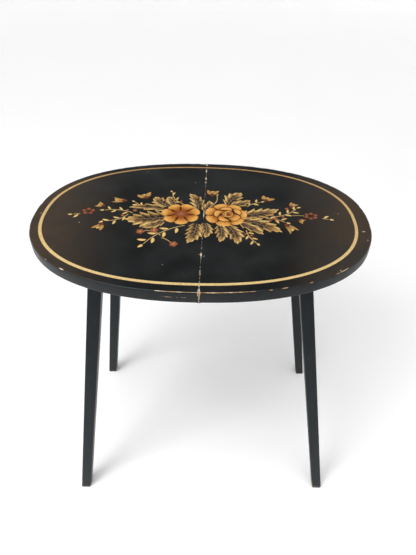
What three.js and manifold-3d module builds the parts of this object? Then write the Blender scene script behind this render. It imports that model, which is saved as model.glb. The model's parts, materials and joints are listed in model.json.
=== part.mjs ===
// Small folding side table: an oval top in two leaves on four tapered, splayed legs.
//
// Millimetres, +Z up. The origin is on the floor below the middle of the seam, and +X runs
// along the top. The seam between the leaves lies on the YZ plane.
//
// The table folds by lifting its middle. Both leaves turn down about the seam rod, each leg
// frame turns about its own axis under its leaf, and one link a side holds each frame upright.
// A leaf, a link, the keel block and a leg frame make a parallelogram, so every joint turns by
// the same angle. One half is drawn and the other is the same half turned round the Z axis.

import * as THREE from 'three';
import { mergeVertices } from 'three/addons/utils/BufferGeometryUtils.js';
import Module from 'manifold-3d';

const wasm = await Module();
wasm.setup();

// ---- Driving dimensions ----------------------------------------------------------------

// Top: a superellipse, flatter at the sides than a true oval
const TOP_LENGTH = 524;
const TOP_WIDTH = 360;
const TOP_THICKNESS = 19;
const TABLE_HEIGHT = 566;
const OVAL_POWER = 2.27;
const OUTLINE_STEPS = 56;
const SEAM_GAP = 0.8;
const ARRIS = 1.2;

// Fold
const FOLD_ANGLE = THREE.MathUtils.degToRad(82);
const SEAM_AXIS_DROP = 11;
const LEG_AXIS_DROP = 14;

// Legs: centre line at the level of the leg axis, and at the floor
const LEG_AXIS_X = 153;
const LEG_AXIS_Y = 91;
const FOOT_X = 240;
const FOOT_Y = 150;
const LEG_SIDE_TOP = 21;
const LEG_SIDE_FOOT = 18.5;
const LEG_CHAMFER = 2.4;
const LEG_ABOVE_AXIS = 7;

// Rail between the two legs of a frame
const RAIL_THICKNESS = 18;
const RAIL_ABOVE_AXIS = 6;
const RAIL_BELOW_AXIS = 42;

// Keel block and links
const KEEL_LENGTH = 60;
const KEEL_BELOW_PIN = 8;
const LINK_PIN_DOWN = 45;
const LINK_PIN_IN = 17;
const LINK_WIDTH = 11;
const LINK_CLEAR_OF_KEEL = 0.4;
const STEEL = 2.5;

// Brackets
const SEAM_EAR_Y = [118, 121];
const SEAM_EAR_RADIUS = 6;
const SEAM_PLATE_X = [-30, -8];
const SEAM_PLATE_LENGTH = 22;
const SEAM_SCREW_X = [-25, -14];
const SEAM_SCREW_ALONG_PLATE = 0.6;
const LEG_EAR_Y = 103.2;
const LEG_EAR_RADIUS = 8;
const LEG_PLATE_HALF = 14;
const LEG_PLATE_LENGTH = 20;
const LEG_SCREW_X = [-8, 8];
const LUG_PLATE_W = [22, 50];
const LUG_PLATE_LENGTH = 21;
const LUG_PLATE_Y = -9;
const LUG_EAR_RADIUS = 5.5;
const LUG_SCREWS = [[26, -21], [37, -21]];

// Pins, screws, dowels and the gap kept between pieces
const GAP = 0.3;
const PIN_RADIUS = 2.5;
const PIN_HEAD_RADIUS = 4.2;
const PIN_HEAD_HEIGHT = 1.5;
const ROD_HALF_LENGTH = 126;
const LEG_PIN_LENGTH = 19;
const LINK_PIN_LENGTH = 7.6;
const STUD_IN_KEEL = 18;
const LINK_Y = -KEEL_LENGTH / 2 - LINK_CLEAR_OF_KEEL;
const SCREW_RADIUS = 1.6;
const SCREW_LENGTH = 12;
const SCREW_HEAD_RADIUS = 3.2;
const SCREW_HEAD_HEIGHT = 1.8;
const SCREW_HEAD_RIM = 0.7;
const SCREW_TIP = 2;
const DOWEL_RADIUS = 4;
const DOWEL_LENGTH = 24;
const DOWELS_DOWN_FRAME = [8, 30];

// ---- Derived places --------------------------------------------------------------------

const UNDERSIDE_Z = TABLE_HEIGHT - TOP_THICKNESS;
const SEAM_AXIS_Z = UNDERSIDE_Z - SEAM_AXIS_DROP;
const LEG_AXIS_Z = UNDERSIDE_Z - LEG_AXIS_DROP;
const SPLAY = Math.atan2(FOOT_X - LEG_AXIS_X, LEG_AXIS_Z);

// A leg frame leans out with its legs. `down` runs down the frame and `inward` stands square
// to it, towards the seam, for the half on the -X side.
const down = new THREE.Vector3(-Math.sin(SPLAY), 0, -Math.cos(SPLAY));
const inward = new THREE.Vector3(Math.cos(SPLAY), 0, -Math.sin(SPLAY));
const legAxis = new THREE.Vector3(-LEG_AXIS_X, 0, LEG_AXIS_Z);
const seamAxis = new THREE.Vector3(0, 0, SEAM_AXIS_Z);

// The link's pins sit by the same step from the leg axis and from the seam axis.
const linkStep = down.clone().multiplyScalar(LINK_PIN_DOWN).addScaledVector(inward, LINK_PIN_IN);
const framePin = legAxis.clone().add(linkStep);
const keelPin = seamAxis.clone().add(linkStep);

// ---- Materials -------------------------------------------------------------------------

const black = { color: 0x1b1a19, roughness: 0.38, metalness: 0 };
const blackInside = { color: 0x23201d, roughness: 0.7, metalness: 0 };
const bareWood = { color: 0xb98d58, roughness: 0.8, metalness: 0 };
const zinc = { color: 0x9a9a94, roughness: 0.4, metalness: 0.9 };
const brassed = { color: 0xa98545, roughness: 0.35, metalness: 0.9 };

// ---- Solids ----------------------------------------------------------------------------

function toSolid(geometry) {
  const bare = geometry.clone();
  bare.deleteAttribute('normal');
  bare.deleteAttribute('uv');
  const merged = mergeVertices(bare, 1e-5);
  const mesh = new wasm.Mesh({
    numProp: 3,
    vertProperties: new Float32Array(merged.attributes.position.array),
    triVerts: new Uint32Array(merged.index.array),
  });
  return new wasm.Manifold(mesh);
}

function toGeometry(solid) {
  const mesh = solid.getMesh();
  const geometry = new THREE.BufferGeometry();
  geometry.setAttribute('position', new THREE.BufferAttribute(new Float32Array(mesh.vertProperties), 3));
  geometry.setIndex(new THREE.BufferAttribute(new Uint32Array(mesh.triVerts), 1));
  geometry.computeVertexNormals();
  return geometry;
}

function cut(geometry, tools) {
  let solid = toSolid(geometry);
  for (const tool of tools) {
    solid = solid.subtract(toSolid(tool));
  }
  return toGeometry(solid);
}

function join(geometries) {
  let solid = toSolid(geometries[0]);
  for (const geometry of geometries.slice(1)) {
    solid = solid.add(toSolid(geometry));
  }
  return toGeometry(solid);
}

function piece(name, geometry, finish) {
  const mesh = new THREE.Mesh(geometry, new THREE.MeshStandardMaterial(finish));
  mesh.name = name;
  return mesh;
}

// A box between two corners
function block([x0, y0, z0], [x1, y1, z1]) {
  const box = new THREE.BoxGeometry(x1 - x0, y1 - y0, z1 - z0);
  box.translate((x0 + x1) / 2, (y0 + y1) / 2, (z0 + z1) / 2);
  return box;
}

// A cylinder along Y between two places, at (x, z)
function rodAlongY(radius, y0, y1, x = 0, z = 0, sides = 16) {
  const rod = new THREE.CylinderGeometry(radius, radius, Math.abs(y1 - y0), sides);
  rod.translate(x, (y0 + y1) / 2, z);
  return rod;
}

// A cylinder standing along Z
function rodAlongZ(radius, x, y, z0, z1, sides = 10) {
  const rod = new THREE.CylinderGeometry(radius, radius, z1 - z0, sides);
  rod.rotateX(Math.PI / 2);
  rod.translate(x, y, (z0 + z1) / 2);
  return rod;
}

// A shape drawn in XZ, given thickness along Y from y0 to y1
function slabInXZ(shape, y0, y1) {
  const slab = new THREE.ExtrudeGeometry(shape, { depth: y1 - y0, bevelEnabled: false, curveSegments: 8 });
  slab.rotateX(Math.PI / 2);
  slab.translate(0, y1, 0);
  return slab;
}

function roundHole(x, z, radius) {
  const hole = new THREE.Path();
  hole.absarc(x, z, radius, 0, 2 * Math.PI, true);
  return hole;
}

// A headed pin: the shank points along -Y from the head's seat at y = 0
function headedPin(length) {
  const profile = [
    [0, -length], [PIN_RADIUS, -length], [PIN_RADIUS, 0], [PIN_HEAD_RADIUS, 0],
    [PIN_HEAD_RADIUS, PIN_HEAD_HEIGHT * 0.5], [PIN_HEAD_RADIUS * 0.7, PIN_HEAD_HEIGHT], [0, PIN_HEAD_HEIGHT],
  ];
  return new THREE.LatheGeometry(profile.map(([r, y]) => new THREE.Vector2(r, y)), 14);
}

// A round-head screw: the head's seat is at the origin and the shank points along +Z
function screwGeometry() {
  const profile = [
    [0, -SCREW_HEAD_HEIGHT], [SCREW_HEAD_RADIUS * 0.7, -SCREW_HEAD_HEIGHT],
    [SCREW_HEAD_RADIUS, -SCREW_HEAD_RIM], [SCREW_HEAD_RADIUS, 0], [SCREW_RADIUS, 0],
    [SCREW_RADIUS, SCREW_LENGTH - SCREW_TIP], [0, SCREW_LENGTH],
  ];
  const screw = new THREE.LatheGeometry(profile.map(([r, y]) => new THREE.Vector2(r, y)), 10);
  return screw.rotateX(Math.PI / 2);
}

const clearance = (radius) => radius + GAP;

// ---- Top -------------------------------------------------------------------------------

function ovalEdge(x) {
  const share = Math.abs(2 * x / TOP_LENGTH) ** OVAL_POWER;
  return (TOP_WIDTH / 2) * Math.max(0, 1 - share) ** (1 / OVAL_POWER);
}

// Holes for the screws that come up into the leaf on the -X side, as [x, y]
const seamScrewY = (ear) => ear + STEEL / 2 - SEAM_PLATE_LENGTH * SEAM_SCREW_ALONG_PLATE;
const legScrewY = LEG_EAR_Y + STEEL + LEG_PLATE_LENGTH / 2;
const leafScrews = {
  seam_front: SEAM_SCREW_X.map((x) => [x, -seamScrewY(SEAM_EAR_Y[0])]),
  seam_back: SEAM_SCREW_X.map((x) => [x, seamScrewY(SEAM_EAR_Y[1])]),
  leg_front: LEG_SCREW_X.map((x) => [x - LEG_AXIS_X, -legScrewY]),
  leg_back: LEG_SCREW_X.map((x) => [x - LEG_AXIS_X, legScrewY]),
};

function leafGeometry() {
  const shape = new THREE.Shape();
  shape.moveTo(-SEAM_GAP / 2, -ovalEdge(SEAM_GAP / 2));
  for (let i = 1; i < OUTLINE_STEPS; i += 1) {
    const turn = Math.PI * i / OUTLINE_STEPS;
    const x = -(TOP_LENGTH / 2) * Math.sin(turn) ** (2 / OVAL_POWER);
    const y = -(TOP_WIDTH / 2) * Math.sign(Math.cos(turn)) * Math.abs(Math.cos(turn)) ** (2 / OVAL_POWER);
    if (x < -SEAM_GAP) shape.lineTo(x, y);
  }
  shape.lineTo(-SEAM_GAP / 2, ovalEdge(SEAM_GAP / 2));
  const board = new THREE.ExtrudeGeometry(shape, {
    depth: TOP_THICKNESS - 2 * ARRIS,
    bevelThickness: ARRIS,
    bevelSize: ARRIS,
    bevelOffset: -ARRIS,
    bevelSegments: 1,
  });
  board.translate(0, 0, UNDERSIDE_Z + ARRIS);
  const pilots = Object.values(leafScrews).flat().map(([x, y]) => (
    rodAlongZ(clearance(SCREW_RADIUS), x, y, UNDERSIDE_Z - 1, UNDERSIDE_Z + SCREW_LENGTH, 8)
  ));
  return cut(board, pilots);
}

// ---- Brackets under the leaves ---------------------------------------------------------

function plateHole(x, y, top) {
  return rodAlongZ(clearance(SCREW_RADIUS), x, y, top - 2 * STEEL, top + STEEL, 8);
}

// Seam bracket: pin axis at the origin, leaf above it, ear on y in [-STEEL/2, STEEL/2]
function seamBracketGeometry(plateSide) {
  const top = SEAM_AXIS_DROP - GAP;
  const [xOut, xIn] = SEAM_PLATE_X;
  const ear = new THREE.Shape();
  ear.moveTo(xOut, top);
  ear.lineTo(xOut, top - STEEL);
  ear.absarc(0, 0, SEAM_EAR_RADIUS, THREE.MathUtils.degToRad(-130), THREE.MathUtils.degToRad(50), false);
  ear.lineTo(xIn, top);
  ear.holes.push(roundHole(0, 0, clearance(PIN_RADIUS)));
  const y0 = plateSide > 0 ? -STEEL / 2 : STEEL / 2 - SEAM_PLATE_LENGTH;
  const plate = block([xOut, y0, top - STEEL], [xIn, y0 + SEAM_PLATE_LENGTH, top]);
  const holeY = plateSide * (SEAM_PLATE_LENGTH * SEAM_SCREW_ALONG_PLATE - STEEL / 2);
  const holes = SEAM_SCREW_X.map((x) => plateHole(x, holeY, top));
  return cut(join([slabInXZ(ear, -STEEL / 2, STEEL / 2), plate]), holes);
}

// Leg bracket: pin axis at the origin, ear on y in [-STEEL, 0], plate running on along -Y
function legBracketGeometry() {
  const top = LEG_AXIS_DROP - GAP;
  const ear = new THREE.Shape();
  ear.moveTo(-LEG_EAR_RADIUS, top);
  ear.absarc(0, 0, LEG_EAR_RADIUS, Math.PI, 2 * Math.PI, false);
  ear.lineTo(LEG_EAR_RADIUS, top);
  ear.holes.push(roundHole(0, 0, clearance(PIN_RADIUS)));
  const plate = block(
    [-LEG_PLATE_HALF, -STEEL - LEG_PLATE_LENGTH, top - STEEL],
    [LEG_PLATE_HALF, 0, top],
  );
  const holeY = -STEEL - LEG_PLATE_LENGTH / 2;
  const holes = LEG_SCREW_X.map((x) => plateHole(x, holeY, top));
  return cut(join([slabInXZ(ear, -STEEL, 0), plate]), holes);
}

// ---- Leg frame -------------------------------------------------------------------------

function squareTaper(sideTop, sideFoot, length, turn) {
  const bar = new THREE.CylinderGeometry(sideTop * Math.SQRT1_2, sideFoot * Math.SQRT1_2, length, 4);
  return bar.rotateY(Math.PI / 4 + turn);
}

// The leg's centre line for the -X side; end is -1 at the front and +1 at the back
function legLine(end) {
  const atAxis = new THREE.Vector3(-LEG_AXIS_X, end * LEG_AXIS_Y, LEG_AXIS_Z);
  const atFloor = new THREE.Vector3(-FOOT_X, end * FOOT_Y, 0);
  const along = atFloor.clone().sub(atAxis).normalize();
  return { atAxis, along, length: atFloor.distanceTo(atAxis) };
}

function legGeometry(end) {
  const { atAxis, along, length } = legLine(end);
  const pastFloor = LEG_SIDE_FOOT;
  const full = LEG_ABOVE_AXIS + length + pastFloor;
  const chamfered = (side) => Math.SQRT2 * (side - LEG_CHAMFER);
  const square = toSolid(squareTaper(LEG_SIDE_TOP, LEG_SIDE_FOOT, full, 0));
  const corners = toSolid(
    squareTaper(chamfered(LEG_SIDE_TOP), chamfered(LEG_SIDE_FOOT), full, Math.PI / 4),
  );
  const leg = toGeometry(square.intersect(corners));
  const up = along.clone().negate();
  const across = up.clone().cross(inward).negate();
  const place = new THREE.Matrix4().makeBasis(inward, up, across);
  place.setPosition(atAxis.clone().addScaledVector(along, full / 2 - LEG_ABOVE_AXIS));
  leg.applyMatrix4(place);
  const belowFloor = block([-TOP_LENGTH, -TOP_WIDTH, -TOP_WIDTH], [TOP_LENGTH, TOP_WIDTH, 0]);
  const holeEnd = LEG_EAR_Y + STEEL - LEG_PIN_LENGTH;
  const pinHole = rodAlongY(
    clearance(PIN_RADIUS),
    end * holeEnd,
    end * (LEG_EAR_Y + STEEL),
    -LEG_AXIS_X,
    LEG_AXIS_Z,
  );
  return cut(leg, [belowFloor, pinHole, ...dowelPlaces(end).map((at) => dowelHole(at))]);
}

// Half the leg's side at a place down the frame, and where its inner face then lies
function legInnerFace(w) {
  const { length } = legLine(1);
  const side = THREE.MathUtils.lerp(LEG_SIDE_TOP, LEG_SIDE_FOOT, w / length);
  const lean = (FOOT_Y - LEG_AXIS_Y) / (LEG_AXIS_Z / Math.cos(SPLAY));
  return LEG_AXIS_Y + lean * w - (side / 2) / Math.cos(Math.atan(lean));
}

function onFrame(w, y, n = 0) {
  return new THREE.Vector3(legAxis.x, y, legAxis.z).addScaledVector(down, w).addScaledVector(inward, n);
}

// Two dowels in each joint between a rail and a leg
function dowelPlaces(end) {
  return DOWELS_DOWN_FRAME.map((w) => onFrame(w, end * legInnerFace(w)));
}

function dowelHole(at) {
  const half = DOWEL_LENGTH / 2 + GAP;
  return rodAlongY(clearance(DOWEL_RADIUS), at.y - half, at.y + half, at.x, at.z, 10);
}

// The screw holes run through the lug and on into the rail, square to the frame.
function lugScrewHoles() {
  const above = 2 * STEEL;
  const depth = above + SCREW_LENGTH + 2 * GAP;
  const radius = clearance(SCREW_RADIUS);
  const turned = new THREE.Quaternion().setFromUnitVectors(new THREE.Vector3(0, 1, 0), inward);
  return LUG_SCREWS.map(([w, y]) => {
    const hole = new THREE.CylinderGeometry(radius, radius, depth, 8).applyQuaternion(turned);
    const middle = onFrame(w, y, RAIL_THICKNESS / 2 + above - depth / 2);
    return hole.translate(middle.x, middle.y, middle.z);
  });
}

function railGeometry() {
  const top = -RAIL_ABOVE_AXIS;
  const low = RAIL_BELOW_AXIS;
  const outline = new THREE.Shape([
    new THREE.Vector2(-legInnerFace(top) + GAP, top),
    new THREE.Vector2(legInnerFace(top) - GAP, top),
    new THREE.Vector2(legInnerFace(low) - GAP, low),
    new THREE.Vector2(-legInnerFace(low) + GAP, low),
  ]);
  const rail = new THREE.ExtrudeGeometry(outline, { depth: RAIL_THICKNESS, bevelEnabled: false });
  rail.translate(0, 0, -RAIL_THICKNESS / 2);
  const place = new THREE.Matrix4().makeBasis(new THREE.Vector3(0, 1, 0), down, inward.clone().negate());
  place.setPosition(legAxis);
  rail.applyMatrix4(place);
  const dowels = [-1, 1].flatMap((end) => dowelPlaces(end)).map((at) => dowelHole(at));
  return cut(rail, [...dowels, ...lugScrewHoles()]);
}

// Lug on the rail's inner face. Drawn as [inward, down], with the ear on y in [-30, -27.5].
function lugGeometry() {
  const face = RAIL_THICKNESS / 2 + GAP;
  const [w0, w1] = LUG_PLATE_W;
  const ear = new THREE.Shape();
  ear.moveTo(face, w0);
  ear.lineTo(face + STEEL, w0);
  ear.absarc(LINK_PIN_IN, LINK_PIN_DOWN, LUG_EAR_RADIUS, -Math.PI / 3, Math.PI / 2, false);
  ear.lineTo(face, w1);
  ear.holes.push(roundHole(LINK_PIN_IN, LINK_PIN_DOWN, clearance(PIN_RADIUS)));
  const slab = new THREE.ExtrudeGeometry(ear, { depth: STEEL, bevelEnabled: false, curveSegments: 8 });
  const plate = block([face, w0, 0], [face + STEEL, RAIL_BELOW_AXIS, LUG_PLATE_LENGTH]);
  const lug = join([slab, plate]);
  const place = new THREE.Matrix4().makeBasis(inward, down, new THREE.Vector3(0, 1, 0));
  place.setPosition(legAxis.x, LUG_PLATE_Y - LUG_PLATE_LENGTH, legAxis.z);
  lug.applyMatrix4(place);
  return cut(lug, lugScrewHoles());
}

// ---- Keel block, links and pins --------------------------------------------------------

// The keel's flanks lie along the leaves' undersides when the table is folded.
function keelGeometry() {
  const radius = SEAM_AXIS_DROP - 2 * GAP;
  const lean = Math.PI / 2 - FOLD_ANGLE;
  const depth = KEEL_BELOW_PIN - linkStep.z;
  const flank = (radius * Math.sin(lean) + depth) / Math.cos(lean);
  const halfBase = radius * Math.cos(lean) + flank * Math.sin(lean);
  const outline = new THREE.Shape();
  outline.moveTo(halfBase, -depth);
  outline.absarc(0, 0, radius, lean, Math.PI - lean, false);
  outline.lineTo(-halfBase, -depth);
  outline.holes.push(roundHole(0, 0, clearance(PIN_RADIUS)));
  const blockGeometry = slabInXZ(outline, -KEEL_LENGTH / 2, KEEL_LENGTH / 2);
  const studHoles = [-1, 1].map((end) => rodAlongY(
    clearance(PIN_RADIUS),
    end * (KEEL_LENGTH / 2 - STUD_IN_KEEL - GAP),
    end * (KEEL_LENGTH / 2 + 1),
    -end * linkStep.x,
    linkStep.z,
  ));
  return cut(blockGeometry, studHoles);
}

// A flat bar from the keel pin at the origin to the frame pin at -length along X
function linkGeometry(length) {
  const half = LINK_WIDTH / 2;
  const bar = new THREE.Shape();
  bar.absarc(0, 0, half, -Math.PI / 2, Math.PI / 2, false);
  bar.absarc(-length, 0, half, Math.PI / 2, 3 * Math.PI / 2, false);
  bar.holes.push(roundHole(0, 0, clearance(PIN_RADIUS)));
  bar.holes.push(roundHole(-length, 0, clearance(PIN_RADIUS)));
  return slabInXZ(bar, -STEEL, 0);
}

function seamRodGeometry() {
  const halfOverall = ROD_HALF_LENGTH + PIN_HEAD_HEIGHT;
  const profile = [
    [0, -halfOverall], [PIN_HEAD_RADIUS, -halfOverall],
    [PIN_HEAD_RADIUS, -ROD_HALF_LENGTH], [PIN_RADIUS, -ROD_HALF_LENGTH],
    [PIN_RADIUS, ROD_HALF_LENGTH], [PIN_HEAD_RADIUS, ROD_HALF_LENGTH],
    [PIN_HEAD_RADIUS, halfOverall], [0, halfOverall],
  ];
  return new THREE.LatheGeometry(profile.map(([r, y]) => new THREE.Vector2(r, y)), 14);
}

// ---- Assembly --------------------------------------------------------------------------

const up = new THREE.Vector3(0, 0, 1);

function leafPieces(side, nameOf) {
  const pieces = [piece(`leaf_${side}`, leafGeometry(), black)];
  for (const end of [-1, 1]) {
    const place = nameOf(end);
    const ear = end < 0 ? SEAM_EAR_Y[0] : SEAM_EAR_Y[1];
    const seamBracket = piece(`seam_bracket_${side}_${place}`, seamBracketGeometry(-end), brassed);
    seamBracket.position.set(0, end * ear, SEAM_AXIS_Z);
    const legBracket = piece(`leg_bracket_${side}_${place}`, legBracketGeometry(), zinc);
    legBracket.position.set(-LEG_AXIS_X, end * LEG_EAR_Y, LEG_AXIS_Z);
    if (end > 0) legBracket.rotation.z = Math.PI;
    const pin = piece(`leg_pin_${side}_${place}`, headedPin(LEG_PIN_LENGTH), zinc);
    pin.position.set(-LEG_AXIS_X, end * (LEG_EAR_Y + STEEL + GAP), LEG_AXIS_Z);
    if (end < 0) pin.rotation.x = Math.PI;
    pieces.push(seamBracket, legBracket, pin);
    for (const kind of ['seam', 'leg']) {
      leafScrews[`${kind}_${end < 0 ? 'front' : 'back'}`].forEach(([x, y], i) => {
        const screw = piece(`${kind}_screw_${side}_${place}_${i + 1}`, screwGeometry(), zinc);
        screw.position.set(x, y, UNDERSIDE_Z - STEEL - 2 * GAP);
        pieces.push(screw);
      });
    }
  }
  return pieces;
}

function framePieces(side, nameOf) {
  const pieces = [
    piece(`leg_rail_${side}`, railGeometry(), blackInside),
    piece(`link_lug_${side}`, lugGeometry(), zinc),
  ];
  for (const end of [-1, 1]) {
    pieces.push(piece(`leg_${side}_${nameOf(end)}`, legGeometry(end), black));
    dowelPlaces(end).forEach((at, i) => {
      const dowel = rodAlongY(DOWEL_RADIUS, -DOWEL_LENGTH / 2, DOWEL_LENGTH / 2, 0, 0, 10);
      const mesh = piece(`rail_dowel_${side}_${nameOf(end)}_${i + 1}`, dowel, bareWood);
      mesh.position.copy(at);
      pieces.push(mesh);
    });
  }
  const seat = RAIL_THICKNESS / 2 + STEEL + 2 * GAP;
  LUG_SCREWS.forEach(([w, y], i) => {
    const screw = piece(`lug_screw_${side}_${i + 1}`, screwGeometry(), zinc);
    screw.position.copy(onFrame(w, y, seat));
    screw.quaternion.setFromUnitVectors(up, inward.clone().negate());
    pieces.push(screw);
  });
  const pin = piece(`link_pin_${side}`, headedPin(LINK_PIN_LENGTH), zinc);
  pin.position.set(framePin.x, LINK_Y - STEEL - GAP, framePin.z);
  pin.rotation.x = Math.PI;
  pieces.push(pin);
  return pieces;
}

function linkPieces(side) {
  const span = framePin.clone().sub(keelPin);
  const link = piece(`link_${side}`, linkGeometry(span.length()), zinc);
  link.position.set(keelPin.x, LINK_Y, keelPin.z);
  link.rotation.y = -Math.atan2(-span.z, -span.x);
  const stud = piece(`keel_stud_${side}`, headedPin(STEEL + STUD_IN_KEEL + GAP), zinc);
  stud.position.set(keelPin.x, LINK_Y - STEEL - GAP, keelPin.z);
  stud.rotation.x = Math.PI;
  return [link, stud];
}

function half(side) {
  const group = new THREE.Group();
  const nameOf = (end) => ((end < 0) === (side === 'left') ? 'front' : 'back');
  group.add(...leafPieces(side, nameOf), ...framePieces(side, nameOf), ...linkPieces(side));
  if (side === 'right') group.rotation.z = Math.PI;
  return group;
}

const table = new THREE.Group();
const keel = piece('keel_block', keelGeometry(), blackInside);
keel.position.copy(seamAxis);
const seamRod = piece('seam_rod', seamRodGeometry(), zinc);
seamRod.position.copy(seamAxis);
table.add(half('left'), half('right'), keel, seamRod);

export default table;
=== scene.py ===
"""Small folding side table in black lacquer, with a painted top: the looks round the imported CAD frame.

Metres, +Z up. The origin is on the floor below the middle of the seam and +X runs along the top.
"""

import json
import math
import random

import bmesh
import bpy
from mathutils import Matrix, Vector


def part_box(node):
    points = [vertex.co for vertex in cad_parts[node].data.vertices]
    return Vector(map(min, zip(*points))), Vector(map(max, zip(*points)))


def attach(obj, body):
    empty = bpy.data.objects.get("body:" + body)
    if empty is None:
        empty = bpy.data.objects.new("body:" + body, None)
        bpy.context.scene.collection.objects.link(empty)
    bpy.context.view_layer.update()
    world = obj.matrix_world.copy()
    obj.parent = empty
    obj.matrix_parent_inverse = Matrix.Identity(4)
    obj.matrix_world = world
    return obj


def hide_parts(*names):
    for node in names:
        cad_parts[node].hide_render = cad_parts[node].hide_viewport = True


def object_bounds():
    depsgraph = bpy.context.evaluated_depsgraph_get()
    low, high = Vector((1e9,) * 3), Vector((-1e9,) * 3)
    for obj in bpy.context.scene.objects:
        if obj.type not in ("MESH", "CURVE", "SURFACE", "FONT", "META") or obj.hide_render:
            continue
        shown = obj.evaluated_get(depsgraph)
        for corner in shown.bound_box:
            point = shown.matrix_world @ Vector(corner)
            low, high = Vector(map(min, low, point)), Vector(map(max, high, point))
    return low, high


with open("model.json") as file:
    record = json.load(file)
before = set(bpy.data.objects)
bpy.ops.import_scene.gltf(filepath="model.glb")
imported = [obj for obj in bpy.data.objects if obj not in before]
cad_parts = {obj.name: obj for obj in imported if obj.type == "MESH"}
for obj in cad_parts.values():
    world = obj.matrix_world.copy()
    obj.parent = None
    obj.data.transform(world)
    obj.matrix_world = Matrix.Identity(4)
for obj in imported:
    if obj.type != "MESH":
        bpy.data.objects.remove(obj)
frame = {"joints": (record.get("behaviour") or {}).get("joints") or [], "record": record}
cad_low, cad_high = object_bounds()

MM = 0.001
SIDES = {"left": -1, "right": 1}
ENDS = {"front": -1, "back": 1}
joints = {joint["name"]: joint for joint in frame["joints"]}
mounts = {mount["name"]: mount for mount in frame["record"]["mounts"]}


def leg_hinge(side):
    """A point of the axis that a leg frame turns about, half way between its two legs."""
    return Vector(joints["left_leaf_fold" if side == "left" else "right_legs_fold"]["pos_m"])


def foot_place(side, end):
    """The middle of a foot, on the floor."""
    return Vector(mounts[f"foot_{side}_{end}"]["pos_m"])


# ---- The top's own shape ----------------------------------------------------------------

HALF_LENGTH = cad_high.x
HALF_WIDTH = cad_high.y
TOP_Z = cad_high.z
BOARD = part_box("leaf_left")[1].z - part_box("leaf_left")[0].z
OVAL_POWER = 2.27
EDGE_ROUND = 2.0 * MM
SEAM_SHOWN = 0.14 * MM  # the leaves all but touch
PAINT_BED = 0.4 * MM  # the board's face lies this far under the CAD top, and the paint fills it


# ---- Node materials ---------------------------------------------------------------------

class Shader:
    """A node material with one Principled BSDF, built up call by call."""

    def __init__(self, name):
        self.material = bpy.data.materials.new(name)
        self.material.use_nodes = True
        self.tree = self.material.node_tree
        self.tree.nodes.clear()
        self.surface = self.node("ShaderNodeBsdfPrincipled")
        output = self.node("ShaderNodeOutputMaterial")
        self.link(self.surface.outputs["BSDF"], output.inputs["Surface"])
        self.place = self.node("ShaderNodeTexCoord").outputs["Object"]

    def node(self, kind, **settings):
        made = self.tree.nodes.new(kind)
        for key, value in settings.items():
            setattr(made, key, value)
        return made

    def link(self, source, target):
        self.tree.links.new(source, target)

    def put(self, socket, value):
        """Links a socket to an output, or sets it to a plain value."""
        if isinstance(value, bpy.types.NodeSocket):
            self.link(value, socket)
        else:
            socket.default_value = value

    def stretch(self, x=1.0, y=1.0, z=1.0, turn=0.0):
        made = self.node("ShaderNodeMapping")
        self.link(self.place, made.inputs["Vector"])
        made.inputs["Scale"].default_value = (x, y, z)
        made.inputs["Rotation"].default_value = (0, 0, turn)
        return made.outputs["Vector"]

    def noise(self, scale, detail=3.0, rough=0.55, vector=None):
        made = self.node("ShaderNodeTexNoise")
        self.link(vector or self.place, made.inputs["Vector"])
        made.inputs["Scale"].default_value = scale
        made.inputs["Detail"].default_value = detail
        made.inputs["Roughness"].default_value = rough
        return made.outputs["Fac"]

    def cells(self, scale, vector=None):
        made = self.node("ShaderNodeTexVoronoi")
        self.link(vector or self.place, made.inputs["Vector"])
        made.inputs["Scale"].default_value = scale
        return made.outputs["Distance"]

    def ramp(self, value, low, high, to_low=0.0, to_high=1.0):
        made = self.node("ShaderNodeMapRange", interpolation_type="SMOOTHSTEP")
        self.put(made.inputs["Value"], value)
        made.inputs["From Min"].default_value = low
        made.inputs["From Max"].default_value = high
        made.inputs["To Min"].default_value = to_low
        made.inputs["To Max"].default_value = to_high
        return made.outputs["Result"]

    def math(self, operation, first, second=0.0):
        made = self.node("ShaderNodeMath", operation=operation)
        self.put(made.inputs[0], first)
        self.put(made.inputs[1], second)
        return made.outputs["Value"]

    def mix(self, share, first, second):
        made = self.node("ShaderNodeMix", data_type="RGBA")
        self.put(made.inputs["Factor"], share)
        for socket, value in ((made.inputs[6], first), (made.inputs[7], second)):
            self.put(socket, (*value, 1.0) if isinstance(value, tuple) else value)
        return made.outputs[2]

    def axis(self, name):
        made = self.node("ShaderNodeSeparateXYZ")
        self.link(self.place, made.inputs["Vector"])
        return made.outputs[name]

    def attribute(self, name, output="Fac"):
        return self.node("ShaderNodeAttribute", attribute_name=name).outputs[output]

    def bump(self, height, strength, distance):
        made = self.node("ShaderNodeBump")
        self.put(made.inputs["Height"], height)
        made.inputs["Strength"].default_value = strength
        made.inputs["Distance"].default_value = distance
        self.link(made.outputs["Normal"], self.surface.inputs["Normal"])

    def finish(self, color, roughness, metallic=0.0, specular=0.5):
        self.put(self.surface.inputs["Base Color"], color)
        self.put(self.surface.inputs["Roughness"], roughness)
        self.surface.inputs["Metallic"].default_value = metallic
        self.surface.inputs["Specular IOR Level"].default_value = specular
        return self.material


# Linear colours of the lacquer and of what shows where it is gone
BLACK, BLUE_BLACK = (0.0105, 0.0112, 0.0114), (0.0045, 0.0060, 0.0068)
# The next colour is a painted reflection: the brown sheen towards the ends of the top.
BROWN_END_SHEEN = (0.058, 0.041, 0.028)
BARE_WOOD, PRIMER = (0.40, 0.24, 0.11), (0.66, 0.57, 0.43)
DUST = (0.34, 0.32, 0.28)
COOL_SHEEN = (0.82, 0.93, 1.0, 1.0)
LACQUER_SPECULAR = 0.20
CLOUD_LIFT = 2.2  # how much lighter than the black its clouds are
CHIP_SOFTNESS = 0.06


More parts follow.
